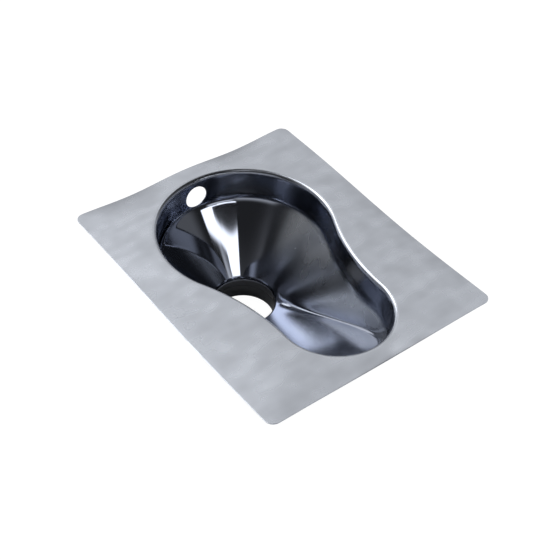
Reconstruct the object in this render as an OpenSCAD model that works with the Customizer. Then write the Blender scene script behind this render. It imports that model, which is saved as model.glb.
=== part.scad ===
// Squat toilet pan, pressed from stainless steel sheet and let into a floor.
// Millimetres. X runs across the pan, Y from its narrow front end to its wide rear end, and Z up.
// The origin is the middle of the deck, in the plane of the bowl's mouth.

/* [Deck] */
// Length of the deck plate, front to rear
deck_l = 530; // [500:5:600]
// Width of the deck plate
deck_w = 430; // [400:5:500]
// Radius of the deck's corners
deck_corner_r = 15; // [6:1:40]
// Thickness of the pressed sheet
sheet_t = 1.5; // [1:0.1:2.5]
// How far the pressing lets the long edges hang below the mouth
side_sag = 7.5; // [0:0.5:12]
// Where the long edges hang lowest, from the deck's middle
side_sag_y = -74; // [-120:2:40]
// How far the rear edge dips on each side of the bowl
rear_sag = 5; // [0:0.5:8]
// How far the front edge dips in its middle
front_sag = 2.5; // [0:0.5:8]

/* [Mouth of the bowl] */
// Radius of the wide rear end, where the deck starts to roll over
wide_r = 152; // [140:1:165]
// Radius of the narrow front end
narrow_r = 98.5; // [88:0.5:110]
// Distance between the centres of the two ends
end_pitch = 226.5; // [215:0.5:240]
// Distance from the deck's rear edge to the wide end's centre
rear_setback = 179.5; // [170:0.5:190]
// Radius of the hollow waist on each side
waist_r = 350; // [280:5:450]
// Radius of the rolled lip, on its upper side
lip_r = 8; // [5:0.5:12]

/* [Bowl] */
// Depth of the upright band, from the mouth to the knee
band_depth = 57.5; // [55:0.5:75]
// Draft of the band from upright, in degrees
band_draft = 1; // [0:0.5:4]
// Depth where the wall and the trough's floor meet the neck
funnel_depth = 169; // [140:1:200]
// Length over which the knee and the trough's fold are eased, on each side of the bend
bend_ease = 13; // [5:0.5:15]
// The same at the throat, where the sheet turns tightly down into the neck
throat_ease = 5; // [3:0.5:5]
// Length of the straight neck below the throat
neck_l = 12; // [4:0.5:20]

/* [Flush inlet] */
// Diameter of the hole for the flush pipe
flush_d = 41; // [30:0.5:42]
// Depth of the hole's centre below the mouth
flush_depth = 35.5; // [34:0.5:37]

/* [Outlet] */
// Outer diameter of the outlet spigot
spigot_d = 110; // [90:1:125]
// Wall of the outlet spigot
spigot_t = 2; // [1.6:0.1:3]
// Length of the outlet spigot
spigot_l = 25; // [20:1:80]
// Height of the weld bead, up the neck from the spigot's top edge
bead_w = 3.5; // [2:0.5:3.5]
// How far the weld bead stands out from the neck
bead_h = 1.2; // [0.8:0.1:1.4]

/* [Anchor lugs] */
// Width of the lug's strip
lug_w = 25; // [15:1:30]
// Thickness of the lug's strip
lug_t = 2; // [1.5:0.1:3]
// Length of the foot under the deck
lug_foot = 30; // [20:1:35]
// Length of the leg that the mortar grips
lug_leg = 42; // [30:1:60]
// Slope of the leg from upright, in degrees
lug_slope = 20; // [0:1:35]
// Inner radius of the lug's bend
lug_bend = 3; // [2:0.5:5]
// Depth of the fishtail notch in the leg's end
lug_notch = 12; // [5:1:18]
// Distance of each lug's middle from the deck's long edge
lug_side = 50; // [35:1:60]
// Distance of each foot's free end from the deck's front or rear edge
lug_end = 40; // [25:1:50]
// Clearance between pieces that lie against each other
seat_gap = 0.2; // [0.1:0.05:0.3]

/* [Hidden] */

steel = [0.70, 0.72, 0.75];
tube_steel = [0.62, 0.64, 0.67];
weld_steel = [0.52, 0.51, 0.50];
strip_steel = [0.58, 0.60, 0.62];

// Steps along one half of the mouth's outline, front to rear
front_steps = 8;
corner_steps = 4;
flank_steps = 5;
waist_steps = 8;
side_steps = 9;
rear_steps = 7;
// Steps across the deck, the lip, the knee, the wall, the floor and the throat
deck_steps = 3;
lip_steps = 5;
knee_steps = 4;
wall_steps = 4;
floor_steps = 5;
throat_steps = 4;

wide_c = [0, deck_l / 2 - rear_setback];
narrow_c = wide_c - [0, end_pitch];
// The waist's arc touches both ends from outside, so its centre lies at the sum of the radii from each
waist_drop = ((wide_r + waist_r) ^ 2 - (narrow_r + waist_r) ^ 2 + end_pitch ^ 2) / (2 * end_pitch);
waist_c = [sqrt((wide_r + waist_r) ^ 2 - waist_drop ^ 2), wide_c.y - waist_drop];
// Directions in which the outline passes from one arc to the next
narrow_turn = bearing(narrow_c, waist_c);
wide_turn = bearing(wide_c, waist_c);
// Corner arcs of the deck, by the points where they leave the straight edges
corner_x = deck_w / 2 - deck_corner_r;
corner_y = deck_l / 2 - deck_corner_r;

lip_turn = 90 - band_draft;
band_top = [-lip_r * sin(lip_turn), -lip_r * (1 - cos(lip_turn))];
band_foot = [band_top.x - (band_depth + band_top.y) * tan(band_draft), -band_depth];
// The neck is as wide inside as the spigot, which stands out round it as a ledge for the weld
neck_r = spigot_d / 2 - spigot_t;
neck_end = -funnel_depth - throat_ease - neck_l;
flush_r = flush_d / 2;
bend_r = lug_bend + lug_t;
// How far a cut runs past the faces it opens
cut_over = 1;
// Sides of the turned pieces, and steps round each lug's bend
round_fn = 96;
bend_steps = 8;

function bearing(from, to) = atan2(to.y - from.y, to.x - from.x);
function dir(a) = [cos(a), sin(a)];
function at_height(p, z) = [p.x, p.y, z];
// One smooth hump, 1 at its middle and 0 from one half-length away
function hump(v) = abs(v) >= 1 ? 0 : cos(90 * v) ^ 2;
// Evenly spaced bearings on an arc, without its last one
function arc_stations(c, r, from, to, steps) =
    [for (k = [0 : steps - 1]) [c, r, from + (to - from) * k / steps]];

// Stations along the right half of the outline. Each is an arc's centre, its radius and a bearing:
// the radius is negative where the centre lies outside the bowl.
function end_stations(c, r, from, edge_a, edge_b, to, steps_a, steps_b) = concat(
    arc_stations(c, r, from, edge_a, steps_a),
    arc_stations(c, r, edge_a, edge_b, corner_steps),
    arc_stations(c, r, edge_b, to, steps_b));
right_stations = concat(
    end_stations(narrow_c, narrow_r, -90, bearing(narrow_c, [corner_x, -deck_l / 2]),
                 bearing(narrow_c, [deck_w / 2, -corner_y]), narrow_turn, front_steps, flank_steps),
    arc_stations(waist_c, -waist_r, narrow_turn, wide_turn, waist_steps),
    end_stations(wide_c, wide_r, wide_turn, bearing(wide_c, [deck_w / 2, corner_y]),
                 bearing(wide_c, [corner_x, deck_l / 2]), 90, side_steps, rear_steps),
    [[wide_c, wide_r, 90]]);
right_count = len(right_stations);
function mirrored(s) = [[-s[0].x, s[0].y], s[1], 180 - s[2]];
stations = concat(right_stations, [for (k = [right_count - 2 : -1 : 1]) mirrored(right_stations[k])]);
around = len(stations);

// A point on the outline grown outwards by off
function outline_point(s, off) = s[0] + (s[1] + off) * dir(s[2]);

// Distance from p along u to the deck's straight edges, and to its rounded corner
function edge_reach(p, u) = min(
    abs(u.x) < 1e-6 ? 1e6 : (sign(u.x) * deck_w / 2 - p.x) / u.x,
    abs(u.y) < 1e-6 ? 1e6 : (sign(u.y) * deck_l / 2 - p.y) / u.y);
function circle_reach(w, u, r) = -w * u + sqrt(max(0, (w * u) ^ 2 - w * w + r ^ 2));
function corner_of(q) = [sign(q.x) * corner_x, sign(q.y) * corner_y];
function in_corner(q) = abs(q.x) > corner_x && abs(q.y) > corner_y;
function deck_edge(s) =
    let (p = outline_point(s, 0), u = dir(s[2]), q = p + edge_reach(p, u) * u)
    in_corner(q) ? p + circle_reach(p - corner_of(q), u, deck_corner_r) * u : q;

// Height of the deck's edge: level with the mouth at the corners, with dips between them
function edge_height(q) =
    - side_sag * hump((q.y - side_sag_y) / (deck_l / 2)) * (abs(q.x) / (deck_w / 2)) ^ 4
    - rear_sag * hump(abs(q.x) / (deck_w / 4) - 1) * max(0, q.y / (deck_l / 2)) ^ 4
    - front_sag * hump(q.x / (deck_w / 2)) * max(0, -q.y / (deck_l / 2)) ^ 4;
// A point on the deck, from the mouth at 0 to the edge at 1
function deck_point(s, part) =
    let (p = outline_point(s, 0), q = deck_edge(s))
    at_height(p + (q - p) * part, edge_height(q) * part ^ 2);
// Height of the deck at a place p abreast of one end of the bowl
function deck_height(p, c, r) =
    let (s = [c, r, bearing(c, p)], m = outline_point(s, 0), q = deck_edge(s))
    edge_height(q) * (norm(p - m) / norm(q - m)) ^ 2;

function unit(v) = v / norm(v);
function lip_point(s, turn) = at_height(outline_point(s, -lip_r * sin(turn)), -lip_r * (1 - cos(turn)));
function knee_corner(s) = at_height(outline_point(s, band_foot.x), band_foot.y);
// The neck's top, on the same bearing from the outlet as the knee above it
function throat_corner(s) = let (k = knee_corner(s))
    at_height(wide_c + neck_r * dir(bearing(wide_c, k)), -funnel_depth);

// Fall per length of the wall, as at the rear, and of the trough's floor, as along its middle
function fall_rate(s) = let (k = knee_corner(s), q = throat_corner(s)) (k.z - q.z) / abs(k.y - q.y);
wall_rate = fall_rate([wide_c, wide_r, 90]);
floor_rate = fall_rate([narrow_c, narrow_r, -90]);
// Where the wall, falling from the knee, meets the floor that runs down to the throat
function fold_corner(s) =
    let (k = knee_corner(s), q = throat_corner(s), level = [q.x - k.x, q.y - k.y],
         wall = max(wall_rate, (k.z - q.z) / norm(level)),
         ramp = floor_rate * level.y / norm(level),
         reach = (k.z - q.z - ramp * norm(level)) / (wall - ramp))
    k + min(max(reach, 0), norm(level)) * [unit(level).x, unit(level).y, -wall];

// The section below the lip as a line through sharp corners, with straight runs beyond both ends
function section(s) =
    let (top = lip_point(s, lip_turn), k = knee_corner(s), q = throat_corner(s))
    [top + bend_ease * unit(top - k), k, fold_corner(s), q, at_height(q, neck_end - throat_ease)];
// How far along a line each of its corners lies
function marks(line, k = 1, so_far = [0]) = k == len(line) ? so_far :
    marks(line, k + 1, concat(so_far, [so_far[k - 1] + norm(line[k] - line[k - 1])]));
// All places on a line up to an end, added up
function summed(line, m, end, k = 0) =
    k > len(line) - 2 || end <= m[k] ? [0, 0, 0] :
    m[k + 1] == m[k] ? summed(line, m, end, k + 1) :
    let (run = min(m[k + 1], end) - m[k], way = (line[k + 1] - line[k]) / (m[k + 1] - m[k]))
    (line[k] + way * run / 2) * run + summed(line, m, end, k + 1);
// The eased line: at each place the mean of the sharp one over the ease on both sides, which
// narrows towards the throat
function eased(line, m, along) =
    let (before = (m[3] - throat_ease - along) / 2, ease = min(bend_ease, throat_ease + max(0, before)))
    (summed(line, m, along + ease) - summed(line, m, along - ease)) / (2 * ease);
function spaced(from, to, steps) = [for (k = [0 : steps - 1]) from + (to - from) * k / steps];
// Places of the rings along a section, from the knee's start to the neck's end
function ring_places(m) =
    let (wall_top = m[1] + bend_ease, floor_end = m[3] - throat_ease,
         fold = min(max(m[2], wall_top + bend_ease), floor_end - bend_ease))
    concat(spaced(m[1] - bend_ease, wall_top, knee_steps), spaced(wall_top, fold, wall_steps),
           spaced(fold, floor_end, floor_steps), spaced(floor_end, m[3] + throat_ease, throat_steps),
           [m[3] + throat_ease, m[4] - throat_ease]);
bowl_columns = [for (s = stations) let (line = section(s), m = marks(line))
    [for (along = ring_places(m)) eased(line, m, along)]];

// Rings of the pressing's upper side, from the deck's edge down to the neck's end
rings = concat(
    [for (k = [deck_steps : -1 : 1]) [for (s = stations) deck_point(s, k / deck_steps)]],
    [for (k = [0 : lip_steps]) [for (s = stations) lip_point(s, lip_turn * k / lip_steps)]],
    [for (k = [0 : len(bowl_columns[0]) - 1]) [for (column = bowl_columns) column[k]]]);
ring_count = len(rings);

function wrap(i) = (i + around) % around;
// The sheet's upper normal, from the neighbours along and across the rings
function sheet_normal(j, i) = unit(cross(
    rings[j][wrap(i + 1)] - rings[j][wrap(i - 1)],
    rings[min(j + 1, ring_count - 1)][i] - rings[max(j - 1, 0)][i]));
upper_points = [for (ring = rings) each ring];
lower_points = [for (j = [0 : ring_count - 1]) for (i = [0 : around - 1])
    rings[j][i] - sheet_t * sheet_normal(j, i)];

function upper(j, i) = j * around + wrap(i);
function lower(j, i) = ring_count * around + upper(j, i);
sheet_faces = concat(
    [for (j = [0 : ring_count - 2]) for (i = [0 : around - 1]) each [
        [upper(j, i), upper(j + 1, i), upper(j + 1, i + 1)],
        [upper(j, i), upper(j + 1, i + 1), upper(j, i + 1)],
        [lower(j, i), lower(j + 1, i + 1), lower(j + 1, i)],
        [lower(j, i), lower(j, i + 1), lower(j + 1, i + 1)]]],
    [for (i = [0 : around - 1]) each [
        [upper(0, i), upper(0, i + 1), lower(0, i + 1)],
        [upper(0, i), lower(0, i + 1), lower(0, i)],
        [upper(ring_count - 1, i), lower(ring_count - 1, i + 1), upper(ring_count - 1, i + 1)],
        [upper(ring_count - 1, i), lower(ring_count - 1, i), lower(ring_count - 1, i + 1)]]]);

// Deck and bowl, one deep-drawn sheet, with the flush pipe's hole through the rear of the band
module pan() {
    color(steel) difference() {
        polyhedron(points = concat(upper_points, lower_points), faces = sheet_faces, convexity = 6);
        // The cut starts half-way across the wide end and ends well behind it
        translate([wide_c.x, wide_c.y + wide_r / 2, -flush_depth]) rotate([-90, 0, 0])
            cylinder(h = wide_r, r = flush_r, $fn = round_fn);
    }
}

// Tube that the drain pipe's socket slides over, welded to the neck end to end
module outlet_spigot() {
    color(tube_steel) translate([wide_c.x, wide_c.y, neck_end - spigot_l]) difference() {
        cylinder(h = spigot_l, d = spigot_d, $fn = round_fn);
        translate([0, 0, -cut_over])
            cylinder(h = spigot_l + 2 * cut_over, r = neck_r, $fn = round_fn);
    }
}

// Weld bead round the neck, a low crown in section, on the spigot's top edge and out of the socket's way
module outlet_weld() {
    seat_r = neck_r + sheet_t + seat_gap;
    crown_r = (bead_w ^ 2 / 4 + bead_h ^ 2) / (2 * bead_h);
    color(weld_steel) translate([wide_c.x, wide_c.y, neck_end + seat_gap + bead_w / 2])
        rotate_extrude($fn = round_fn) intersection() {
            translate([seat_r + bead_h - crown_r, 0]) circle(r = crown_r, $fn = round_fn);
            translate([seat_r, -bead_w / 2]) square(bead_w);
        }
}

// Side view of a lug: a flat foot from the origin along +X, then the bend and the leg going down
module lug_profile() {
    bend_c = [lug_foot, -bend_r];
    leg = lug_leg * dir(lug_slope - 90);
    bend_turns = [for (k = [0 : bend_steps]) 90 + (lug_slope - 90) * k / bend_steps];
    polygon(concat(
        [[0, 0]],
        [for (a = bend_turns) bend_c + bend_r * dir(a)],
        [for (r = [bend_r, lug_bend]) bend_c + r * dir(lug_slope) + leg],
        [for (k = [bend_steps : -1 : 0]) bend_c + lug_bend * dir(bend_turns[k])],
        [[0, -lug_t]]));
}

// Anchor lug: a strip bent down from the deck, with a fishtail for the mortar
module anchor_lug() {
    tail_w = lug_w * 2 / 3;
    color(strip_steel) difference() {
        translate([0, lug_w / 2, 0]) rotate([90, 0, 0]) linear_extrude(lug_w) lug_profile();
        translate([lug_foot, 0, -bend_r]) rotate([0, 90 - lug_slope, 0])
            translate([lug_leg, 0, lug_bend - cut_over]) linear_extrude(lug_t + 2 * cut_over)
                polygon([[-lug_notch, 0], [cut_over, tail_w / 2], [cut_over, -tail_w / 2]]);
    }
}

// The lug under one corner of the deck. Its foot runs in from the end, up against the sheet's lowest place.
module placed_lug(side, end) {
    c = end > 0 ? wide_c : narrow_c;
    r = end > 0 ? wide_r : narrow_r;
    start = [side * (deck_w / 2 - lug_side), end * (deck_l / 2 - lug_end)];
    foot_corners = [for (across = [-1, 1]) for (along = [0, 1])
        start + [across * lug_w / 2, -end * along * lug_foot]];
    top = min([for (p = foot_corners) deck_height(p, c, r)]) - sheet_t - seat_gap;
    translate([start.x, start.y, top]) rotate(-90 * end) anchor_lug();
}

module anchor_lug_rear_left() { placed_lug(-1, 1); }
module anchor_lug_rear_right() { placed_lug(1, 1); }
module anchor_lug_front_left() { placed_lug(-1, -1); }
module anchor_lug_front_right() { placed_lug(1, -1); }

pan();
outlet_spigot();
outlet_weld();
anchor_lug_rear_left();
anchor_lug_rear_right();
anchor_lug_front_left();
anchor_lug_front_right();
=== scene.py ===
"""Looks of a pressed stainless steel squat pan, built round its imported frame.

Sizes are in millimetres, as the part's own source gives them, and are turned to metres where a
mesh is made. X runs across the pan, Y from its narrow front end to its wide rear end, and Z up.
"""

import logging
import math
from bisect import bisect_left
from collections import Counter
from dataclasses import dataclass, field
from enum import Enum
from typing import Any, Iterable

import bpy
from mathutils import Matrix, Vector


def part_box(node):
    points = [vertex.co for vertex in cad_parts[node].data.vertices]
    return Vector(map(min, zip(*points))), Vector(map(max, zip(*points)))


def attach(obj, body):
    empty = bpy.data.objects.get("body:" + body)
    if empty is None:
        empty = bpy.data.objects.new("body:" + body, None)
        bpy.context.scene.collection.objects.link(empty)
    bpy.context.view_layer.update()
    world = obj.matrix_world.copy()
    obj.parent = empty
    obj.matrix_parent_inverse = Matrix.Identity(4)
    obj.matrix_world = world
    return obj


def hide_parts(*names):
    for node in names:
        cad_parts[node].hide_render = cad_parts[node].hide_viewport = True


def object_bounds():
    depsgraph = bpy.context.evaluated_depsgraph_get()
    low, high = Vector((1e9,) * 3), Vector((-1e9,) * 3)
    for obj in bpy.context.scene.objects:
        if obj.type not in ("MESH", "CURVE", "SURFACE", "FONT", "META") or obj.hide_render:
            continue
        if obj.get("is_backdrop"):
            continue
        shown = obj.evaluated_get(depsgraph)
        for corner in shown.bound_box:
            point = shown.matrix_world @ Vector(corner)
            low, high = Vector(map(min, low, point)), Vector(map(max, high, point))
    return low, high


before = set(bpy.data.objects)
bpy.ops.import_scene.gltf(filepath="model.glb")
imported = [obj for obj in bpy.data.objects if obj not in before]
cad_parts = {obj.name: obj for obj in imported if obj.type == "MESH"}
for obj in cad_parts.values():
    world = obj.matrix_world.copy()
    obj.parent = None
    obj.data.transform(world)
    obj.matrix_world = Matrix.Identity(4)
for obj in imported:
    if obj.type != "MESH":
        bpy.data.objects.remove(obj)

LOG = logging.getLogger("squat_pan")
MM = 0.001
TINY = 1e-6
DEGREES = 180 / math.pi
WHITE = (1.0, 1.0, 1.0, 1.0)

Number = float | int
Colour = tuple[float, float, float]
Span = tuple[float, float]
Sockets = dict[str | int, Any]
Piece = bpy.types.Object


class Bench:
    """The modelling steps that every piece shares."""

    CREASE = 50.0
    SMOOTH = 40.0

    @staticmethod
    def clear() -> None:
        """Deselects everything, the frame's own nodes too."""
        bpy.ops.object.select_all(action="DESELECT")

    @staticmethod
    def take(piece: Piece) -> None:
        """Makes one piece the only selected one, and the active one.

        Args:
            piece: the piece.
        """
        Bench.clear()
        piece.select_set(True)
        bpy.context.view_layer.objects.active = piece

    @staticmethod
    def start(name: str) -> Piece:
        """Names the primitive that was just added, and its mesh.

        Args:
            name: the piece's name.

        Returns:
            The piece, ready to be shaped.
        """
        piece = bpy.context.object
        piece.name = piece.data.name = name
        return piece

    @staticmethod
    def edit(piece: Piece, mode: str) -> None:
        """Opens a piece for edits on its vertices, edges or faces, with nothing selected.

        Args:
            piece: the piece to open.
            mode: VERT, EDGE or FACE.
        """
        Bench.take(piece)
        Bench.in_edit(bpy.ops.mesh.select_mode, type=mode)
        Bench.in_edit(bpy.ops.mesh.select_all, action="DESELECT")

    @staticmethod
    def in_edit(step: Any, **settings: Any) -> None:
        """Runs one edit-mode operator on what is selected of the active piece.

        Args:
            step: the operator.
            settings: what the operator is given.
        """
        bpy.ops.object.mode_set(mode="EDIT")
        step(**settings)
        bpy.ops.object.mode_set(mode="OBJECT")

    @staticmethod
    def on_all(piece: Piece, step: Any, **settings: Any) -> None:
        """Runs one edit-mode operator on the whole of a piece.

        Args:
            piece: the piece.
            step: the operator.
            settings: what the operator is given.
        """
        Bench.take(piece)
        Bench.in_edit(bpy.ops.mesh.select_all, action="SELECT")
        Bench.in_edit(step, **settings)

    @staticmethod
    def modify(piece: Piece, kind: str, **settings: Any) -> None:
        """Adds a modifier to a piece and applies it.

        Args:
            piece: the piece.
            kind: the modifier's type.
            settings: the modifier's own settings.
        """
        Bench.take(piece)
        modifier = piece.modifiers.new(kind.title(), kind)
        for key, value in settings.items():
            setattr(modifier, key, value)
        bpy.ops.object.modifier_apply(modifier=modifier.name)

    @staticmethod
    def mark(piece: Piece, name: str, values: Iterable[float]) -> None:
        """Keeps a number at each of a piece's vertices, under a name."""
        piece.data.attributes.new(name, "FLOAT", "POINT").data.foreach_set("value", list(values))

    @staticmethod
    def thicken(piece: Piece, thick: float, **settings: Any) -> None:
        """Gives a sheet its thickness in millimetres, behind its faces."""
        Bench.modify(piece, "SOLIDIFY", thickness=thick * MM, offset=-1.0, use_even_offset=True,
                     **settings)

    @staticmethod
    def round_edges(piece: Piece, radius: float, segments: int) -> None:
        """Rounds a piece's sharp edges by a radius in millimetres."""
        Bench.modify(piece, "BEVEL", width=radius * MM, segments=segments, limit_method="ANGLE",
                     angle_limit=math.radians(Bench.CREASE))

    @staticmethod
    def face_up(piece: Piece) -> None:
        """Turns an open sheet so that its levellest face looks up."""
        levellest = max(piece.data.polygons, key=lambda face: abs(face.normal.z) * face.area)
        if levellest.normal.z < 0:
            Bench.on_all(piece, bpy.ops.mesh.flip_normals)

    @staticmethod
    def smooth(piece: Piece, angle: float = SMOOTH) -> None:
        """Shades a piece smooth across edges flatter than an angle in degrees."""
        Bench.take(piece)
        bpy.ops.object.shade_smooth_by_angle(angle=math.radians(angle))

    @staticmethod
    def settle(piece: Piece) -> None:
        """Puts a piece's place into its mesh, so that its object sits unturned at the origin."""
        Bench.take(piece)
        bpy.ops.object.transform_apply(location=True, rotation=True, scale=True)

    @staticmethod
    def fit(piece: Piece, finish: "Finish", *nodes: str) -> None:
        """Dresses a finished piece and sets it in the place of the frame's nodes.

        Args:
            piece: the piece.
            finish: what its surface looks like.
            nodes: the frame's nodes that it stands for.
        """
        piece.data.materials.clear()
        piece.data.materials.append(finish.material())
        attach(piece, "root")
        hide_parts(*nodes)
        count = len(piece.data.polygons)
        LOG.info("%s: %d faces, stands for %s", piece.name, count, ", ".join(nodes))


class Sock:
    """An output socket that can be added, multiplied and compared as a number is."""

    def __init__(self, board: "Board", socket: bpy.types.NodeSocket) -> None:
        """Keeps the socket and the board that its node is on."""
        self.board = board
        self.socket = socket

    def __add__(self, other: Any) -> "Sock":
        """This plus other."""
        return self.board.maths("ADD", self, other)

    __radd__ = __add__

    def __mul__(self, other: Any) -> "Sock":
        """This times other."""
        return self.board.maths("MULTIPLY", self, other)

    __rmul__ = __mul__

    def __sub__(self, other: Any) -> "Sock":
        """This less other."""
        return self.board.maths("SUBTRACT", self, other)

    def __rsub__(self, other: Any) -> "Sock":
        """Other less this."""
        return self.board.maths("SUBTRACT", other, self)

    def __pow__(self, other: Any) -> "Sock":
        """This to the power of other."""
        return self.board.maths("POWER", self, other)

    def __abs__(self) -> "Sock":
        """The size of this, without its sign."""
        return self.board.maths("ABSOLUTE", self)

    def larger(self, other: Any) -> "Sock":
        """The larger of this and other."""
        return self.board.maths("MAXIMUM", self, other)

    def ease(self, start: Number, end: Number) -> "Sock":
        """0 before start and 1 after end, and smooth between; start may be the larger.

        Args:
            start: where it leaves 0.
            end: where it reaches 1.

        Returns:
            The eased value.
        """
        span = {"From Min": min(start, end), "From Max": max(start, end)}
        eased = self.board.add("ShaderNodeMapRange", {"interpolation_type": "SMOOTHSTEP"},
                               {"Value": self, **span, "To Min": 0.0, "To Max": 1.0}, "Result")
        return eased if start <= end else 1 - eased

    def spread(self, low: Number, high: Number) -> "Sock":
        """Carries 0 to 1 over to low to high."""
        return self * (high - low) + low


class Board:
    """A node tree that nodes are added to by one method."""

    UNSTRETCHED = (1.0, 1.0, 1.0)
    GRAIN = 0.55

    def __init__(self, owner: bpy.types.Material | bpy.types.World) -> None:
        """Takes the tree of a material or a world, and empties it.

        Args:
            owner: the material or world.
        """
        owner.use_nodes = True
        self.tree = owner.node_tree
        self.tree.nodes.clear()

    def node(self, kind: str, settings: dict[str, Any] | None = None,
             inputs: Sockets | None = None) -> bpy.types.Node:
        """Adds any node.

        Args:
            kind: the node's type.
            settings: its own settings, which are set first.
            inputs: values or links of its sockets, by name or number.

        Returns:
            The node.
        """
        made = self.tree.nodes.new(kind)
        for key, value in (settings or {}).items():
            setattr(made, key, value)
        for key, value in (inputs or {}).items():
            if isinstance(value, Sock):
                self.tree.links.new(value.socket, made.inputs[key])
            else:
                made.inputs[key].default_value = value
        return made

    def add(self, kind: str, settings: dict[str, Any] | None = None,
            inputs: Sockets | None = None, output: str | int = 0) -> Sock:
        """Adds any node and wraps one of its outputs, by name or number."""
        return Sock(self, self.node(kind, settings, inputs).outputs[output])

    def maths(self, operation: str, *values: Any) -> Sock:
        """Adds one Math node for one or two values or links."""
        return self.add("ShaderNodeMath", {"operation": operation}, dict(enumerate(values)))

    def attribute(self, name: str) -> Sock:
        """The number that a mesh keeps at its vertices under a name."""
        return self.add("ShaderNodeAttribute", {"attribute_name": name}, {}, "Fac")

    def part(self, vector: Sock, axis: str) -> Sock:
        """What a vector is along one axis."""
        return self.add("ShaderNodeSeparateXYZ", {}, {0: vector}, axis)

    def place(self, stretch: Colour = UNSTRETCHED) -> Sock:
        """The surface's own place in millimetres, where a pattern runs stretch times faster."""
        inputs = {"Vector": self.add("ShaderNodeTexCoord", output="Object"),
                  "Scale": tuple(s / MM for s in stretch)}
        return self.add("ShaderNodeMapping", {}, inputs)

    def noise(self, size: Number, detail: Number = 2.0, stretch: Colour = UNSTRETCHED) -> Sock:
        """Soft blotches.

        Args:
            size: how large a blotch is, in millimetres.
            detail: how many finer layers it has.
            stretch: how much faster it runs along X, Y and Z.

        Returns:
            A value from 0 to 1, about 0.5 on average.
        """
        return self.add("ShaderNodeTexNoise", {}, {
            "Vector": self.place(stretch), "Scale": 1 / size, "Detail": detail,
            "Roughness": self.GRAIN}, "Fac")

    def bump(self, height: Sock) -> Sock:
        """The normal of a surface that is raised by a height in metres."""
        inputs = {"Height": height, "Strength": 1.0, "Distance": 1.0}
        return self.add("ShaderNodeBump", {}, inputs, "Normal")

    def blend(self, share: Any, first: Any, second: Any) -> Sock:
        """Mixes two colours, with share of the second."""
        first, second = (c if isinstance(c, Sock) else (*c, 1.0) for c in (first, second))
        return self.add("ShaderNodeMix", {"data_type": "RGBA"}, {0: share, 6: first, 7: second}, 2)

    def seen(self) -> Sock:
        """1 for the rays that show the backdrop itself: the camera's, and those let through."""
        rays = self.node("ShaderNodeLightPath").outputs
        return Sock(self, rays["Is Camera Ray"]).larger(Sock(self, rays["Is Transmission Ray"]))


@dataclass(frozen=True)
class Finish:
    """A finish: its name, the record's slot that it is, and the bare metal under it."""

    name: str
    slot: str
    metal: Colour

    def shaded(self, share: float) -> Colour:
        """The metal's colour at a share of its brightness."""
        return tuple(c * share for c in self.metal)

    def material(self) -> bpy.types.Material:
        """Makes the material, once, and gives the same one each time.

        Returns:
            The material.
        """
        found = bpy.data.materials.get(self.name)
        if found is None:
            found = bpy.data.materials.new(self.name)
            found.diffuse_color = (*self.metal, 1.0)
            board = Board(found)
            sockets = {"Metallic": 1.0, **self.sockets(board)}
            shader = board.add("ShaderNodeBsdfPrincipled", {}, sockets)
            board.node("ShaderNodeOutputMaterial", {}, {"Surface": shader})
        return found

    def sockets(self, board: Board) -> Sockets:
        """What each finish gives the Principled shader's sockets, by name."""
        raise NotImplementedError


@dataclass(frozen=True)
class PressedSteel(Finish):
    """Deep-drawn sheet: a satin deck that runs over the lip into a polished bowl."""

    satin: float = 0.27
    mirror: float = 0.045
    underside: float = 0.34
    underside_wear: Span = (0.9, 1.1)
    # Painted shade down the neck: the depths in mm over which it sets in, and how dark it goes
    painted_neck_shade_z: Span = (-171.0, -175.0)
    painted_neck_shade: float = 0.2
    cloud_size: float = 38.0
    cloud_depth: float = 0.2
    sweep_size: float = 60.0
    sweep_way: Colour = (1.0, 2.6, 1.0)
    contrast: Span = (0.2, 0.8)
    polish_calm: float = 0.75
    wear_mean: float = 0.35
    wear_depth: float = 0.35
    # Painted shade in the bowl: how much it darkens, its hue by channel, and the polish at which it
    # is full
    painted_bowl_shade: float = 0.3
    painted_bowl_shade_hue: Colour = (1.15, 1.08, 0.84)
    painted_bowl_shade_reach: float = 0.5
    wave_size: float = 70.0
    wave_height: float = 0.06

    def sockets(self, board: Board) -> Sockets:
        """Roughness falls from deck to bowl, where painted shade darkens the colour; clouds and a
        faint waviness run over all of it.

        Args:
            board: the material's board.

        Returns:
            Values or links by socket name.
        """
        polish, below = board.attribute(PressedSheet.POLISH), board.attribute(PressedSheet.BELOW)
        clouds = board.noise(self.cloud_size, 1.0).ease(*self.contrast)
        sweeps = board.noise(self.sweep_size, 1.0, self.sweep_way).ease(*self.contrast)
        worn = (clouds * 0.5 + sweeps * 0.5) * (1 - polish * self.polish_calm)
        upper = polish.spread(self.satin, self.mirror)
        upper = upper * (1 + (worn - self.wear_mean) * self.wear_depth)
        lower = worn.spread(*self.underside_wear) * self.underside
        colour = board.blend(worn, self.metal, self.shaded(1 - self.cloud_depth))
        # Painted shade: the colour darkens and turns bluer where the sheet is polished, over the
        # bowl; it thins where the trough is worn dull
        kept = 1 - self.painted_bowl_shade
        shaded_bowl = tuple(c * kept ** power for c, power in zip(self.metal, self.painted_bowl_shade_hue))
        colour = board.blend(polish.ease(0.0, self.painted_bowl_shade_reach), colour, shaded_bowl)
        # Painted shade: the upper side goes dark from the throat down the neck
        neck = board.part(board.place(), "Z").ease(*self.painted_neck_shade_z) * (1 - below)
        waves = board.noise(self.wave_size, 0.0)
        return {
            "Base Color": board.blend(neck, colour, self.shaded(self.painted_neck_shade)),
            "Roughness": upper * (1 - below) + below * lower,
            "Normal": board.bump(waves * (self.wave_height * MM)),
        }


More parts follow.
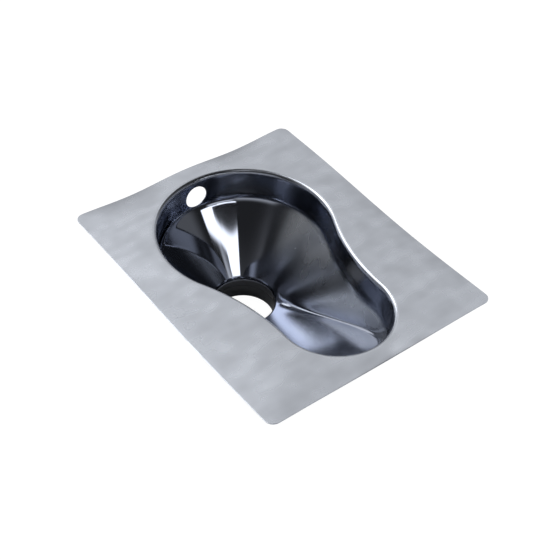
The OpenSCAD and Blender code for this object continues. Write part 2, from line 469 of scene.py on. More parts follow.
@dataclass(frozen=True)
class LinedSteel(Finish):
    """Steel as it left the mill: fine lines along or round it, and duller patches."""

    line_size: float
    line_way: Colour
    line_relief: float
    patch_size: float
    patch_span: Span
    patch_shade: float
    rough: Span

    def sockets(self, board: Board) -> Sockets:
        """Lines in roughness and in relief, and patches in roughness and in colour.

        Args:
            board: the material's board.

        Returns:
            Values or links by socket name.
        """
        lines = board.noise(self.line_size, 3.0, self.line_way)
        patches = board.noise(self.patch_size, 2.0)
        dull = patches.ease(*self.patch_span)
        return {
            "Base Color": board.blend(dull, self.metal, self.shaded(self.patch_shade)),
            "Roughness": (lines * 0.5 + patches * 0.5).spread(*self.rough),
            "Normal": board.bump(lines * (self.line_relief * MM)),
        }


@dataclass(frozen=True)
class DrawnTube(LinedSteel):
    """Drawn tube, left as it came, with painted shade darkening its inside."""

    painted_inner_shade: float = 0.2

    def sockets(self, board: Board) -> Sockets:
        """Lines and patches, with painted shade darkening the tube's inside.

        Args:
            board: the material's board.

        Returns:
            Values or links by socket name.
        """
        found = super().sockets(board)
        # Painted shade: the tube's inside is darkened
        inside, inner_shade_colour = board.attribute(OutletSpigot.INSIDE), self.shaded(self.painted_inner_shade)
        return {**found, "Base Color": board.blend(inside, found["Base Color"], inner_shade_colour)}


@dataclass(frozen=True)
class WeldSteel(Finish):
    """Weld metal as it froze: grey with a faint straw and blue tint."""

    straw: Colour = (0.55, 0.46, 0.33)
    straw_size: float = 14.0
    straw_span: Span = (0.45, 0.62)
    blue: Colour = (0.36, 0.40, 0.52)
    blue_size: float = 11.0
    blue_span: Span = (0.55, 0.7)
    rough: Span = (0.28, 0.42)

    def sockets(self, board: Board) -> Sockets:
        """Heat tint in patches along the bead.

        Args:
            board: the material's board.

        Returns:
            Values or links by socket name.
        """
        patches = board.noise(self.straw_size, 2.0)
        tinted = board.blend(patches.ease(*self.straw_span), self.metal, self.straw)
        cooler = board.noise(self.blue_size, 1.0).ease(*self.blue_span)
        return {"Base Color": board.blend(cooler, tinted, self.blue),
                "Roughness": patches.spread(*self.rough)}


class Steel(Enum):
    """The finishes on this pan."""

    PRESSED = PressedSteel("pressed_steel", "pan_steel", (0.59, 0.62, 0.68))
    TUBE = DrawnTube(
        "drawn_tube", "tube_steel", (0.58, 0.60, 0.64), line_size=9.0, line_way=(0.6, 0.6, 14.0),
        line_relief=0.02, patch_size=18.0, patch_span=(0.35, 0.7), patch_shade=0.86,
        rough=(0.24, 0.38))
    WELD = WeldSteel("weld_metal", "weld_steel", (0.50, 0.50, 0.51))
    STRIP = LinedSteel(
        "sheared_strip", "strip_steel", (0.56, 0.58, 0.61), line_size=6.0,
        line_way=(6.0, 0.5, 0.5), line_relief=0.015, patch_size=12.0, patch_span=(0.35, 0.65),
        patch_shade=0.82, rough=(0.3, 0.46))


def heading(bearing: float) -> Vector:
    """The level direction at a bearing in radians."""
    return Vector((math.cos(bearing), math.sin(bearing), 0.0))


def at_height(place: Vector, height: float) -> Vector:
    """The same place at another height."""
    return Vector((place.x, place.y, height))


def bearing_of(start: Vector, end: Vector) -> float:
    """The bearing from one place to another, in radians."""
    return math.atan2(end.y - start.y, end.x - start.x)


@dataclass(frozen=True)
class Station:
    """A place on the mouth's outline: an arc's centre, its radius and a bearing from the centre.

    The radius is negative where the centre lies outside the bowl.
    """

    centre: Vector
    radius: float
    bearing: float

    def grown(self, off: float) -> Vector:
        """The place on the outline grown outwards by off."""
        return self.centre + heading(self.bearing) * (self.radius + off)

    def mirrored(self) -> "Station":
        """The same station on the other side of the pan."""
        centre = Vector((-self.centre.x, self.centre.y, 0.0))
        return Station(centre, self.radius, math.pi - self.bearing)


@dataclass(frozen=True)
class DeckPlate:
    """The deck: its edge, its rounded corners and the dips that the pressing leaves in it."""

    length: float
    width: float
    corner_r: float = 15.0
    side_sag: float = 7.5
    side_sag_y: float = -74.0
    rear_sag: float = 5.0
    front_sag: float = 2.5

    @property
    def corner(self) -> Vector:
        """The centre of the rear right corner's arc."""
        return Vector((self.width / 2 - self.corner_r, self.length / 2 - self.corner_r, 0.0))

    def edge(self, station: Station) -> Vector:
        """Where the level line outwards from a station meets the deck's edge.

        Args:
            station: the station that the line starts at.

        Returns:
            The place on the edge, at the mouth's height.
        """
        start, way, corner = station.grown(0.0), heading(station.bearing), self.corner
        half = (self.width / 2, self.length / 2)
        met = start + way * min((math.copysign(half[k], way[k]) - start[k]) / way[k]
                                for k in (0, 1) if abs(way[k]) > TINY)
        if abs(met.x) <= corner.x or abs(met.y) <= corner.y:
            return met
        centre = Vector((math.copysign(corner.x, met.x), math.copysign(corner.y, met.y), 0.0))
        away = start - centre
        along = away.dot(way)
        root = along * along - away.dot(away) + self.corner_r ** 2
        return start + way * (-along + math.sqrt(root))

    @staticmethod
    def hump(part: float) -> float:
        """One smooth hump, 1 at its middle and 0 from one half-length away."""
        return 0.0 if abs(part) >= 1.0 else math.cos(math.pi / 2 * part) ** 2

    def edge_height(self, place: Vector) -> float:
        """Height of the deck's edge: level with the mouth at the corners, with dips between.

        Args:
            place: a place on the edge.

        Returns:
            The height, 0 or below.
        """
        across, along = place.x / (self.width / 2), place.y / (self.length / 2)
        side = self.hump((place.y - self.side_sag_y) / (self.length / 2)) * abs(across) ** 4
        rear = self.hump(2 * abs(across) - 1) * max(0.0, along) ** 4
        front = self.hump(across) * max(0.0, -along) ** 4
        return -self.side_sag * side - self.rear_sag * rear - self.front_sag * front

    def point(self, station: Station, part: float) -> Vector:
        """A point on the deck, from the mouth at part 0 to the edge at 1."""
        edge = self.edge(station)
        return at_height(station.grown(0.0).lerp(edge, part), self.edge_height(edge) * part ** 2)


@dataclass(frozen=True)
class Mouth:
    """The pear-shaped outline of the bowl's mouth, made of arcs that touch."""

    deck: DeckPlate
    wide_r: float = 152.0
    narrow_r: float = 98.5
    end_pitch: float = 226.5
    rear_setback: float = 179.5
    waist_r: float = 350.0
    front_steps: int = 26
    corner_steps: int = 8
    flank_steps: int = 18
    waist_steps: int = 34
    side_steps: int = 34
    rear_steps: int = 38

    @property
    def wide(self) -> Vector:
        """The wide end's centre."""
        return Vector((0.0, self.deck.length / 2 - self.rear_setback, 0.0))

    @property
    def narrow(self) -> Vector:
        """The narrow end's centre."""
        return self.wide - Vector((0.0, self.end_pitch, 0.0))

    @property
    def waist(self) -> Vector:
        """The right waist's centre, at the sum of the radii from both ends' centres.

        Returns:
            The centre.
        """
        far, near = self.wide_r + self.waist_r, self.narrow_r + self.waist_r
        drop = (far ** 2 - near ** 2 + self.end_pitch ** 2) / (2 * self.end_pitch)
        return Vector((math.sqrt(far ** 2 - drop ** 2), self.wide.y - drop, 0.0))

    def stations(self) -> list[Station]:
        """Stations all round the outline, from the front, up the right side and back.

        Returns:
            The stations, the first one not repeated at the end.
        """
        corner = self.deck.corner
        out_x = Vector((self.deck.width / 2, corner.y, 0.0))
        out_y = Vector((corner.x, self.deck.length / 2, 0.0))
        front_x, front_y = Vector((out_x.x, -out_x.y, 0.0)), Vector((out_y.x, -out_y.y, 0.0))
        waist = self.waist
        low_y, low_x, low_turn = (bearing_of(self.narrow, p) for p in (front_y, front_x, waist))
        high_turn, high_x, high_y = (bearing_of(self.wide, p) for p in (waist, out_x, out_y))
        narrow, wide = (self.narrow, self.narrow_r), (self.wide, self.wide_r)
        runs = [
            (*narrow, -math.pi / 2, low_y, self.front_steps),
            (*narrow, low_y, low_x, self.corner_steps),
            (*narrow, low_x, low_turn, self.flank_steps),
            (waist, -self.waist_r, low_turn + math.pi, high_turn + math.pi, self.waist_steps),
            (*wide, high_turn, high_x, self.side_steps),
            (*wide, high_x, high_y, self.corner_steps),
            (*wide, high_y, math.pi / 2, self.rear_steps),
        ]
        right: list[Station] = []
        for centre, radius, start, end, steps in runs:
            first = start - (math.pi if radius < 0 else 0.0)
            right += [Station(centre, radius, first + (end - start) * k / steps)
                      for k in range(steps)]
        right.append(Station(*wide, math.pi / 2))
        return right + [s.mirrored() for s in reversed(right[1:-1])]


class BentLine:
    """A line through corners, each eased on both sides, the knee and the last one tightly."""

    def __init__(self, corners: list[Vector], reach: float, knee: float, tight: float) -> None:
        """Takes the corners, of which the first and the last are the line's ends.

        Args:
            corners: the corners; some may lie in the same place.
            reach: how far from a corner its easing starts.
            knee: the half window at the second corner, from where it widens to the reach.
            tight: how far from the last corner before the line's end its easing starts.
        """
        self.reach = reach
        self.knee = knee
        self.tight = tight
        before = corners[0] + (corners[0] - corners[1]).normalized() * reach
        after = corners[-1] + (corners[-1] - corners[-2]).normalized() * reach
        self.corners = [before, *corners, after]
        lengths = [(b - a).length for a, b in zip(self.corners, self.corners[1:])]
        self.marks = [sum(lengths[:k]) for k in range(len(self.corners))]

    def mark(self, corner: int) -> float:
        """How far along the line a corner lies, from its first one."""
        return self.marks[corner + 1] - self.reach

    def summed(self, end: float) -> Vector:
        """Every place on the line up to an end, added up.

        Args:
            end: the end, from where the straight run before the first corner starts.

        Returns:
            The sum of the places times the length.
        """
        total = Vector()
        for start, stop, a, b in zip(self.marks, self.marks[1:], self.corners, self.corners[1:]):
            run = min(stop, end) - start
            if run > 0:
                total += (a + a.lerp(b, run / (stop - start))) * (run / 2)
        return total

    def at(self, along: float) -> Vector:
        """The eased line's point: the mean of the sharp one over a reach on both sides.

        Args:
            along: how far from the first corner it lies.

        Returns:
            The point.
        """
        before = self.mark(len(self.corners) - 4) - self.tight - along
        reach = min(self.reach, self.tight + max(0.0, before / 2),
                    self.knee + abs(along - self.mark(1)) / 2)
        middle = along + self.reach
        return (self.summed(middle + reach) - self.summed(middle - reach)) / (2 * reach)

    def run(self, start: float, end: float, steps: int) -> list[Vector]:
        """Points spaced evenly from a start up to an end, without the end."""
        return [self.at(start + (end - start) * k / steps) for k in range(steps)]


@dataclass(frozen=True)
class Bowl:
    """The bowl's section: lip, upright band, knee, wall, fold, floor, throat and neck."""

    mouth: Mouth
    neck_r: float
    neck_end: float
    lip_r: float = 8.0
    band_depth: float = 57.5
    band_draft: float = 1.0
    bend_reach: float = 13.0
    knee_reach: float = 5.0
    throat_reach: float = 5.0
    funnel_depth: float = 169.0
    lip_steps: int = 14
    band_steps: int = 9
    bend_steps: int = 12
    wall_steps: int = 18
    neck_steps: int = 2

    @property
    def lip_turn(self) -> float:
        """How far the lip turns down, in radians."""
        return math.radians(90.0 - self.band_draft)

    @property
    def rows(self) -> int:
        """How many points a column has below the lip."""
        return self.band_steps + 2 * self.bend_steps + 2 * self.wall_steps + self.neck_steps + 1

    @property
    def draft(self) -> float:
        """How far the band leans in from the lip down to the knee."""
        fall = self.band_depth - self.lip_r * (1 - math.cos(self.lip_turn))
        return fall * math.tan(math.radians(self.band_draft))

    def lip(self, station: Station, turn: float) -> Vector:
        """A point on the rolled lip, turned down by an angle in radians."""
        place = station.grown(-self.lip_r * math.sin(turn))
        return at_height(place, -self.lip_r * (1 - math.cos(turn)))

    def knee(self, station: Station) -> Vector:
        """The sharp corner between the band and the wall below it."""
        inwards = self.lip_r * math.sin(self.lip_turn) + self.draft
        return at_height(station.grown(-inwards), -self.band_depth)

    def throat(self, station: Station) -> Vector:
        """The sharp corner at the top of the neck, on the knee's bearing from the outlet."""
        way = heading(bearing_of(self.mouth.wide, self.knee(station)))
        return at_height(self.mouth.wide + way * self.neck_r, -self.funnel_depth)

    @property
    def slopes(self) -> tuple[float, float]:
        """How steeply the wall falls, as at the rear, and the floor, as in the pan's middle.

        Returns:
            The fall per length of the wall and of the floor.
        """
        rear = Station(self.mouth.wide, self.mouth.wide_r, math.pi / 2)
        front = Station(self.mouth.narrow, self.mouth.narrow_r, -math.pi / 2)
        return tuple((self.knee(s).z - self.throat(s).z) / abs(self.knee(s).y - self.throat(s).y)
                     for s in (rear, front))

    def fold(self, station: Station) -> Vector:
        """Where the wall, falling from the knee, meets the floor that runs down to the throat.

        Args:
            station: the station.

        Returns:
            The sharp corner, between the knee and the throat.
        """
        knee, throat = self.knee(station), self.throat(station)
        wall, floor = self.slopes
        level = Vector((throat.x - knee.x, throat.y - knee.y, 0.0))
        wall = max(wall, (knee.z - throat.z) / level.length)
        floor *= level.y / level.length
        reach = (knee.z - throat.z - floor * level.length) / (wall - floor)
        reach = min(max(reach, 0.0), level.length)
        return knee + level.normalized() * reach - Vector((0.0, 0.0, wall * reach))

    def column(self, station: Station) -> list[Vector]:
        """The whole section at a station, from the lip's start down to the neck's end.

        Args:
            station: the station.

        Returns:
            The points, top first.
        """
        knee, fold, throat = self.knee(station), self.fold(station), self.throat(station)
        foot = at_height(throat, self.neck_end)
        reach, tight, lip = self.bend_reach, self.throat_reach, self.lip_steps
        corners = [self.lip(station, self.lip_turn), knee, fold, throat, foot]
        line = BentLine(corners, reach, self.knee_reach, tight)
        wall_top, wall_end = line.mark(1) + reach, line.mark(3) - tight
        middle = min(max(line.mark(2), wall_top + reach), wall_end - reach)
        marks = [0.0, line.mark(1) - reach, wall_top, middle, wall_end, wall_end + 2 * tight,
                 line.mark(4)]
        counts = [self.band_steps, self.bend_steps, self.wall_steps, self.wall_steps,
                  self.bend_steps, self.neck_steps]
        points = [self.lip(station, self.lip_turn * k / lip) for k in range(lip)]
        for start, end, count in zip(marks, marks[1:], counts):
            points += line.run(start, end, count)
        return points + [foot]


@dataclass
class PressedSheet:
    """The pan's one sheet, with the flush pipe's hole through the rear of the band."""

    POLISH = "polish"
    BELOW = "below"

    deck: DeckPlate
    mouth: Mouth
    bowl: Bowl
    sheet_t: float = 1.5
    flush_d: float = 41.0
    flush_depth: float = 35.5
    window: float = 25.5
    hole_steps: int = 6
    deck_steps: int = 16
    edge_strip: float = 1.2
    rim_round: float = 0.3
    calm_passes: int = 300
    trough_y: Span = (85.0, 10.0)
    wear_y: Span = (205.0, 110.0)
    band_polish: float = 0.55
    wall_wear: float = 1.0
    floor_wear: float = 0.35
    rim_share: float = 0.95
    profile: list[tuple[float, float]] = field(default_factory=list)

    def build(self) -> Piece:
        """Makes the upper side from a grid, opens the hole and gives the sheet its thickness.

        Returns:
            The finished piece.
        """
        stations = self.mouth.stations()
        columns = [self.column(s) for s in stations]
        self.calm(columns)
        around, rows = len(stations), len(columns[0])
        bpy.ops.mesh.primitive_grid_add(x_subdivisions=around, y_subdivisions=rows - 1, size=1.0)
        sheet = Bench.start("pan_sheet")
        polish = sheet.data.attributes.new(self.POLISH, "FLOAT", "POINT")
        finish, wear = self.polish_by_row(), self.wear_by_row()
        for vertex in sheet.data.vertices:
            across = round((vertex.co.x + 0.5) * around) % around
            down = round((0.5 - vertex.co.y) * (rows - 1))
            vertex.co = columns[across][down] * MM
            share = self.trough_share(columns[across], self.wear_y)
            polish.data[vertex.index].value = finish[down] * (1 - share * wear[down])
        Bench.edit(sheet, "VERT")
        Bench.on_all(sheet, bpy.ops.mesh.remove_doubles, threshold=TINY)
        rear = columns[stations.index(Station(self.mouth.wide, self.mouth.wide_r, math.pi / 2))]
        self.profile = [(-p.z, p.y - self.mouth.wide.y) for p in rear[self.deck_steps + 1:]]
        self.open_flush_hole(sheet)
        Bench.face_up(sheet)
        upper = len(sheet.data.vertices)
        Bench.thicken(sheet, self.sheet_t, use_quality_normals=True)
        Bench.mark(sheet, self.BELOW, (float(v.index >= upper) for v in sheet.data.vertices))
        Bench.round_edges(sheet, self.rim_round, 2)
        Bench.smooth(sheet)
        return sheet

    def column(self, station: Station) -> list[Vector]:
        """All points at a station, from the deck's edge in over the lip to the neck's end.

        Args:
            station: the station.

        Returns:
            The points, outermost first.
        """
        reach = (self.deck.edge(station) - station.grown(0.0)).length
        parts = [1.0, 1.0 - self.edge_strip / reach]
        parts += [k / self.deck_steps for k in range(self.deck_steps - 1, 0, -1)]
        return [self.deck.point(station, part) for part in parts] + self.bowl.column(station)

    def calm(self, columns: list[list[Vector]]) -> None:
        """Evens the trough's wall and floor round the bowl, as a drawn sheet flows; the rest stays.

        Args:
            columns: the points at every station, which are moved.
        """
        bowl = self.bowl
        first = self.deck_steps + 1 + bowl.lip_steps + bowl.band_steps
        taper = [(k + 1) / bowl.bend_steps for k in range(bowl.bend_steps)]
        taper += [1.0] * (2 * bowl.wall_steps - bowl.bend_steps) + taper[::-1]
        shares = [self.trough_share(column, self.trough_y) for column in columns]
        for row, depth_share in enumerate(taper, first):
            ring = [column[row] for column in columns]
            once = self.evened(ring, self.calm_passes)
            twice = self.evened(once, self.calm_passes)
            for column, old, a, b, share in zip(columns, ring, once, twice, shares):
                column[row] = old.lerp(2 * a - b, share * depth_share)

    def trough_share(self, column: list[Vector], span: Span) -> float:
        """How much a column belongs to the trough.

        Args:
            column: the column's points.
            span: where along Y the share leaves 0 and where it reaches 1.

        Returns:
            The share, from 0 to 1.
        """
        start, full = span
        knee = column[self.deck_steps + 1 + self.bowl.lip_steps + self.bowl.band_steps]
        part = min(max((start - knee.y) / (start - full), 0.0), 1.0)
        return part * part * (3 - 2 * part)

    @staticmethod
    def evened(ring: list[Vector], passes: int) -> list[Vector]:
        """A closed ring of points, each moved towards its neighbours' middle again and again.

        Args:
            ring: the points.
            passes: how often they are moved.

        Returns:
            The evened points.
        """
        for _ in range(passes):
            after = ring[1:] + ring[:1]
            before = ring[-1:] + ring[:-1]
            ring = [p / 2 + (a + b) / 4 for p, a, b in zip(ring, before, after)]
        return ring

    def polish_by_row(self) -> list[float]:
        """How polished each row is: satin on the deck, running over the lip into the bowl.

        Returns:
            The polish, from 0 to 1, from the deck's edge to the neck's end.
        """
        bowl, least = self.bowl, self.band_polish
        lip, bend = bowl.lip_steps, bowl.bend_steps // 2
        rows = [0.0] * (self.deck_steps + 1) + [least * k / (lip - 1) for k in range(lip)]
        rows += [least] * bowl.band_steps
        rows += [least + (1 - least) * k / bend for k in range(bend)]
        return rows + [1.0] * (bowl.rows - bowl.band_steps - bend)

    def wear_by_row(self) -> list[float]:
        """How much of its polish each row loses in the trough: the wall most, the floor less.

        Returns:
            The loss, from 0 to 1, from the deck's edge to the neck's end.
        """
        bowl, wall, floor = self.bowl, self.wall_wear, self.floor_wear
        bend = [(k + 1) / bowl.bend_steps for k in range(bowl.bend_steps)]
        rows = [0.0] * (self.deck_steps + 1 + bowl.lip_steps) + [floor] * bowl.band_steps
        rows += [floor + (wall - floor) * part for part in bend]
        rows += [wall + (floor - wall) * (k / bowl.wall_steps) ** 3 for k in range(bowl.wall_steps)]
        rows += [floor] * bowl.wall_steps + [floor * (1 - part) for part in bend]
        return rows + [0.0] * (bowl.neck_steps + 1)

    def reach_at(self, depth: float) -> float:
        """The wide end's inner radius at a depth below the mouth.

        Args:
            depth: the depth.

        Returns:
            The radius.
        """
        at = bisect_left(self.profile, (depth, 0.0))
        (low, near), (high, far) = self.profile[at - 1], self.profile[at]
        return near + (far - near) * (depth - low) / (high - low)

    def open_flush_hole(self, sheet: Piece) -> None:
        """Cuts a window in the band and draws its edge in, step by step, to the round hole.

        Args:
            sheet: the sheet's upper side.
        """
        mesh, centre, window = sheet.data, self.mouth.wide, self.window
        Bench.edit(sheet, "FACE")
        for face in mesh.polygons:
            x, y, z = (c / MM for c in face.center)
            face.select = y > centre.y and max(abs(x), abs(z + self.flush_depth)) < window
        Bench.in_edit(bpy.ops.mesh.delete, type="FACE")
        Bench.edit(sheet, "EDGE")
        uses = Counter(key for face in mesh.polygons for key in face.edge_keys)
        for edge in mesh.edges:
            middle = sum((mesh.vertices[v].co for v in edge.vertices), Vector()) / 2 / MM
            edge.select = (
                uses[edge.key] == 1 and abs(middle.x) < 2 * window
                and -middle.z < self.bowl.funnel_depth / 2
                and centre.y < middle.y < self.rim_share * self.deck.length / 2)
        for step in range(self.hole_steps):
            Bench.in_edit(bpy.ops.mesh.extrude_edges_move)
            for vertex in (v for v in mesh.vertices if v.select):
                x, depth = vertex.co.x / MM, -vertex.co.z / MM - self.flush_depth
                away = math.hypot(x, depth)
                scale = (away + (self.flush_d / 2 - away) / (self.hole_steps - step)) / away
                x, depth = x * scale, depth * scale + self.flush_depth
                y = centre.y + math.sqrt(self.reach_at(depth) ** 2 - x * x)
                vertex.co = Vector((x, y, -depth)) * MM


@dataclass
class OutletSpigot:
    """The tube that the drain's socket slides over."""

    INSIDE = "inside"

    wall: float = 2.0
    sides: int = 192
    edge_round: float = 0.4

    def build(self) -> Piece:
        """Makes the tube from an open cylinder at the frame's own place and size.

        Returns:
            The finished piece.
        """
        low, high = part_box("outlet_spigot")
        middle, radius = (low + high) / 2, (high.x - low.x) / 2
        Bench.clear()
        bpy.ops.mesh.primitive_cylinder_add(
            vertices=self.sides, radius=radius, depth=high.z - low.z,
            end_fill_type="NOTHING", location=middle)
        tube = Bench.start("spigot_tube")
        Bench.settle(tube)
        Bench.thicken(tube, self.wall)
        Bench.round_edges(tube, self.edge_round, 3)
        away = [(v.co - middle).xy.length for v in tube.data.vertices]
        # Marks the inside, which the tube's finish darkens with painted shade
        Bench.mark(tube, self.INSIDE, (float(a < radius - self.wall / 2 * MM) for a in away))
        Bench.smooth(tube)
        return tube


@dataclass
class OutletWeld:
    """The weld bead round the neck, frozen in even ripples."""

    bead_w: float = 3.4
    bead_h: float = 1.2
    seat_r: float = 54.5
    ripple_pitch: float = 2.6
    ripple_depth: float = 0.12
    ripple_curve: float = 0.35
    seat_h: float = 0.6
    smooth_angle: float = 60.0
    around: int = 720
    over: int = 14

    def build(self) -> Piece:
        """Makes the bead from a ring whose section is flattened against the neck and rippled.

        Returns:
            The finished piece.
        """
        low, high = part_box("outlet_weld")
        Bench.clear()
        bpy.ops.mesh.primitive_torus_add(
            major_segments=self.around, minor_segments=self.over,
            major_radius=self.seat_r * MM, minor_radius=self.bead_w / 2 * MM)
        bead = Bench.start("weld_bead")
        ripples = round(2 * math.pi * self.seat_r / self.ripple_pitch)
        for vertex in bead.data.vertices:
            out = math.hypot(vertex.co.x, vertex.co.y) / MM - self.seat_r
            turn = math.atan2(vertex.co.y, vertex.co.x)
            bulge = self.ripple_curve * (vertex.co.z / MM / self.bead_w) ** 2
            arc = (turn * ripples / (2 * math.pi) + bulge) % 1.0
            lift = self.ripple_depth * (1 - arc) * max(0.0, out) / (self.bead_w / 2)
            flat = out * (self.bead_h if out > 0 else self.seat_h) / (self.bead_w / 2)
            radius = (self.seat_r + flat - self.ripple_depth + lift) * MM
            vertex.co.x, vertex.co.y = radius * math.cos(turn), radius * math.sin(turn)
        bead.location = (low + high) / 2
        Bench.settle(bead)
        Bench.smooth(bead, self.smooth_angle)
        return bead


@dataclass
class AnchorLug:
    """A strip bent down from under the deck, with a fishtail that the mortar grips."""

    node: str
    width: float = 25.0
    thick: float = 2.0
    foot: float = 30.0
    leg: float = 42.0
    slope: float = 20.0
    bend: float = 3.0
    notch: float = 12.0
    bend_steps: int = 10
    edge_round: float = 0.35
    grid: tuple[int, int] = (6, 5)
    leg_rows: int = 8
    near: float = 1e-3

    def build(self) -> Piece:
        """Draws the strip's upper side from its foot, spins the bend and draws the leg.

        Returns:
            The finished piece.
        """
        low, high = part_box(self.node)
        rear = low.y + high.y > 0
        outer, turn = self.bend + self.thick, math.radians(90 - self.slope)
        Bench.clear()
        bpy.ops.mesh.primitive_grid_add(
            x_subdivisions=self.grid[0], y_subdivisions=self.grid[1], size=1.0)
        strip = Bench.start(self.node.replace("anchor_lug", "lug"))
        for vertex in strip.data.vertices:
            x, y = vertex.co.x * self.width, (0.5 - vertex.co.y) * self.foot
            vertex.co = Vector((x, y, 0.0)) * MM
        self.select_end(strip)
        Bench.in_edit(bpy.ops.mesh.spin, steps=self.bend_steps, angle=turn, axis=(1, 0, 0),
                      center=(0.0, self.foot * MM, -outer * MM))
        pivot = Vector((0.0, self.foot, -outer))
        end = Vector((0.0, math.sin(turn), math.cos(turn))) * outer + pivot
        way = Vector((0.0, math.cos(turn), -math.sin(turn)))
        for _ in range(self.leg_rows):
            Bench.in_edit(bpy.ops.mesh.extrude_edges_move,
                          TRANSFORM_OT_translate={"value": way * (self.leg / self.leg_rows * MM)})
        self.cut_fishtail(strip, end, way)
        Bench.face_up(strip)
        Bench.thicken(strip, self.thick)
        Bench.round_edges(strip, self.edge_round, 2)
        strip.rotation_euler = (0.0, 0.0, math.pi if rear else 0.0)
        strip.location = Vector(((low.x + high.x) / 2, high.y if rear else low.y, high.z))
        Bench.settle(strip)
        Bench.smooth(strip)
        return strip

    def select_end(self, strip: Piece) -> None:
        """Selects the edges at the end of the strip's foot.

        Args:
            strip: the strip.
        """
        Bench.edit(strip, "EDGE")
        for edge in strip.data.edges:
            ends = (strip.data.vertices[v].co.y / MM for v in edge.vertices)
            edge.select = all(abs(y - self.foot) < self.near for y in ends)

    def cut_fishtail(self, strip: Piece, start: Vector, way: Vector) -> None:
        """Draws the middle of the leg's end back into the fishtail's notch.

        Args:
            strip: the strip.
            start: where the leg starts.
            way: the direction in which it runs.
        """
        tail = self.width / 3
        for vertex in strip.data.vertices:
            along = (vertex.co / MM - start).dot(way)
            if along > 10 * self.near:
                inset = max(0.0, 1 - abs(vertex.co.x / MM) / tail) * self.notch * along / self.leg
                vertex.co -= way * (inset * MM)


@dataclass(frozen=True)
class Softbox:
    """A soft light far off, by where it stands in the sky.

    Angles are in degrees, and azimuths run clockwise from the pan's rear, as seen from above. Its
    top and bottom edges rise by lean for each degree of azimuth. Its sides fade over feather, its
    top and bottom over rim, or over feather where rim is 0.
    """

    azimuth: float
    half_width: float
    low: float
    high: float
    level: float
    feather: float = 6.0
    lean: float = 0.0
    rim: float = 0.0

    def glow(self, board: Board, way: Sock, rise: Sock) -> Sock:
        """How bright this light is along a direction.

        Args:
            board: the world's board.
            way: the direction.
            rise: the direction's height above the horizon, in degrees.

        Returns:
            The light's level there.
        """
        turn = math.radians(self.azimuth)
        east, north = math.sin(turn), math.cos(turn)
        across, along = (
            board.add("ShaderNodeVectorMath", {"operation": "DOT_PRODUCT"},
                      {0: way, 1: axis}, "Value")
            for axis in ((north, -east, 0.0), (east, north, 0.0)))
        off = board.maths("ARCTAN2", across, along) * DEGREES
        sides = abs(off).ease(self.half_width + self.feather, self.half_width - self.feather)
        rise, rim = rise - off * self.lean, self.rim or self.feather
        height = rise.ease(self.low - rim, self.low + rim)
        return sides * (height * rise.ease(self.high + rim, self.high - rim)) * self.level


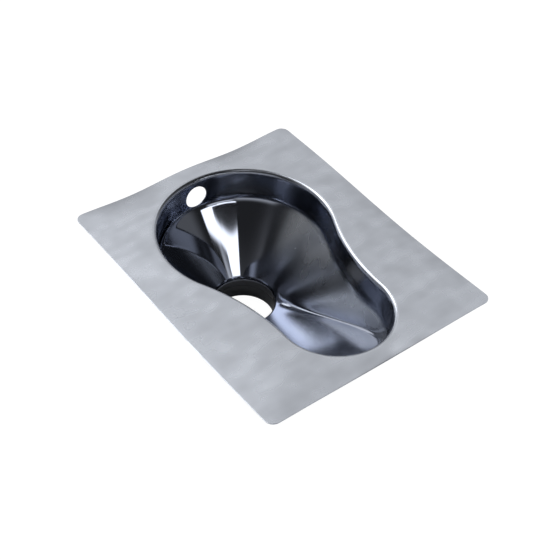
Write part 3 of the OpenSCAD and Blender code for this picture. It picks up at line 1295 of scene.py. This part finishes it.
@dataclass(frozen=True)
class Studio:
    """Plain soft studio: a white floor that runs into a white backdrop, and softboxes overhead."""

    boxes: tuple[Softbox, ...]
    dark: float = 0.03
    backdrop: Span = (8.0, 2.0)
    floor_gap: float = 0.3
    floor_size: float = 12.0
    floor_glow: float = 1.25
    floor_paint: tuple[float, ...] = (0.9, 0.9, 0.9, 1.0)
    shadow_share: float = 0.22
    painted_shadow_reach: Span = (150.0, 420.0)

    def light(self) -> None:
        """Makes the world: white to the camera, and softboxes in a dark room to the steel."""
        world = bpy.data.worlds.new("studio")
        bpy.context.scene.world = world
        board = Board(world)
        way = board.add("ShaderNodeTexCoord", output="Generated")
        rise = board.maths("ARCSINE", board.part(way, "Z")) * DEGREES
        level = rise.ease(*self.backdrop) + self.dark
        for box in self.boxes:
            level = level + box.glow(board, way, rise)
        seen = board.seen()
        strength = level * (1 - seen) + seen
        back = board.add("ShaderNodeBackground", {}, {"Color": WHITE, "Strength": strength})
        board.node("ShaderNodeOutputWorld", {}, {"Surface": back})

    def lay_floor(self) -> None:
        """Lays the floor just under the outlet; it glows where it is seen, with a faint shadow, and
        has a painted shadow under the pan in reflections.
        """
        low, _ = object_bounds()
        Bench.clear()
        bpy.ops.mesh.primitive_plane_add(
            size=self.floor_size, location=(0, 0, low.z - self.floor_gap * MM))
        floor = Bench.start("studio_floor")
        Bench.settle(floor)
        paint = bpy.data.materials.new("floor_paint")
        board = Board(paint)
        place = board.place()
        x, y = board.part(place, "X"), board.part(place, "Y")
        away = (x * x + y * y) ** 0.5
        mirrored = board.add("ShaderNodeLightPath", output="Is Glossy Ray")
        # Painted shadow: in reflections the floor's glow fades out near the pan's middle, as if
        # shaded by it
        seen = board.seen().larger(mirrored * away.ease(*self.painted_shadow_reach))
        glow = board.add("ShaderNodeEmission", {}, {"Color": WHITE, "Strength": self.floor_glow})
        matt = board.add("ShaderNodeBsdfDiffuse", {}, {"Color": self.floor_paint})
        share = seen * (1 - self.shadow_share)
        both = board.add("ShaderNodeMixShader", {}, {0: share, 1: matt, 2: glow})
        board.node("ShaderNodeOutputMaterial", {}, {"Surface": both})
        floor.data.materials.append(paint)
        floor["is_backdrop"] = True


@dataclass(frozen=True)
class PhotoCamera:
    """The camera at the photograph's place, for a picture of 560 by 560 pixels."""

    picture: int = 560
    focal: float = 1170.353
    azimuth: float = -39.820
    elevation: float = 44.487
    roll: float = 3.247
    distance: float = 1818.19
    target: Vector = field(default_factory=lambda: Vector((-29.05, -43.19, 0.0)))
    sensor: float = 36.0
    clip: Span = (0.05, 50.0)

    def build(self) -> None:
        """Makes the camera and gives it to the scene."""
        azimuth, elevation, roll = map(math.radians, (self.azimuth, self.elevation, self.roll))
        level = math.cos(elevation)
        back = Vector((math.sin(azimuth) * level, -math.cos(azimuth) * level, math.sin(elevation)))
        right = Vector((0.0, 0.0, 1.0)).cross(back).normalized()
        up = back.cross(right)
        turned = right * math.cos(roll) + up * math.sin(roll)
        upright = up * math.cos(roll) - right * math.sin(roll)
        data = bpy.data.cameras.new("photo_camera")
        data.sensor_fit = "HORIZONTAL"
        data.sensor_width = self.sensor
        data.lens = self.focal / self.picture * self.sensor
        data.clip_start, data.clip_end = self.clip
        camera = bpy.data.objects.new("photo_camera", data)
        bpy.context.scene.collection.objects.link(camera)
        spot = (self.target + back * self.distance) * MM
        axes = zip(turned, upright, back, spot)
        camera.matrix_world = Matrix((*axes, (0.0, 0.0, 0.0, 1.0)))
        bpy.context.scene.camera = camera


# Azimuth, half width, lowest and highest, level, feather, and lean and rim where they aren't 0
SOFTBOXES = tuple(Softbox(*numbers) for numbers in (
    (46, 34, 22, 62, 0.76, 8),
    (42, 44, 5, 23, 0.28, 5),
    (20, 13, 43, 50, 0.85, 4),
    (72, 12, 44, 66, 0.5, 6),
    (-17, 21, 30, 70, 3.2, 5),
    (-46, 12, 36, 52, 0.8, 6),
    (-10, 22, 10, 29, 0.9, 4),
    (-55, 26, 10, 88, 0.22, 9),
    (-128, 28, 8, 17, 0.25, 4),
    (-130, 28, 62, 85, 0.15, 6),
    (162.5, 7.5, 29.3, 34, 2.8, 1, 0.18, 0.3),
    (174, 4, 31.1, 32.4, 2.8, 1, 0.115, 0.2),
    (190.5, 12.5, 31.7, 34.2, 2.8, 1, 0.1, 0.2),
    (183, 17, 24, 30, 0.9, 3, 0.0, 1.5),
    (228, 26, 14, 30, 0.45, 6),
    (206, 14, 58, 80, 0.6, 4),
    (110, 34, 8, 32, 0.13, 8),
))


def main() -> None:
    """Builds the pan's pieces, the studio and the camera, in that order."""
    logging.basicConfig(level=logging.INFO, format="%(name)s: %(message)s")
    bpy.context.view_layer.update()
    low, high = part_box("pan")
    spigot_low, spigot_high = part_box("outlet_spigot")
    spigot, spigot_r = OutletSpigot(), (spigot_high.x - spigot_low.x) / 2 / MM
    deck = DeckPlate(length=(high.y - low.y) / MM, width=(high.x - low.x) / MM)
    mouth = Mouth(deck)
    bowl = Bowl(mouth, neck_r=spigot_r - spigot.wall, neck_end=low.z / MM)
    Bench.clear()
    Bench.fit(PressedSheet(deck, mouth, bowl).build(), Steel.PRESSED.value, "pan")
    Bench.fit(spigot.build(), Steel.TUBE.value, "outlet_spigot")
    Bench.fit(OutletWeld().build(), Steel.WELD.value, "outlet_weld")
    for node in sorted(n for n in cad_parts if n.startswith("anchor_lug")):
        Bench.fit(AnchorLug(node).build(), Steel.STRIP.value, node)
    studio = Studio(SOFTBOXES)
    studio.light()
    studio.lay_floor()
    PhotoCamera().build()
    bpy.context.scene.view_settings.view_transform = "Standard"


if __name__ == "__main__":
    main()
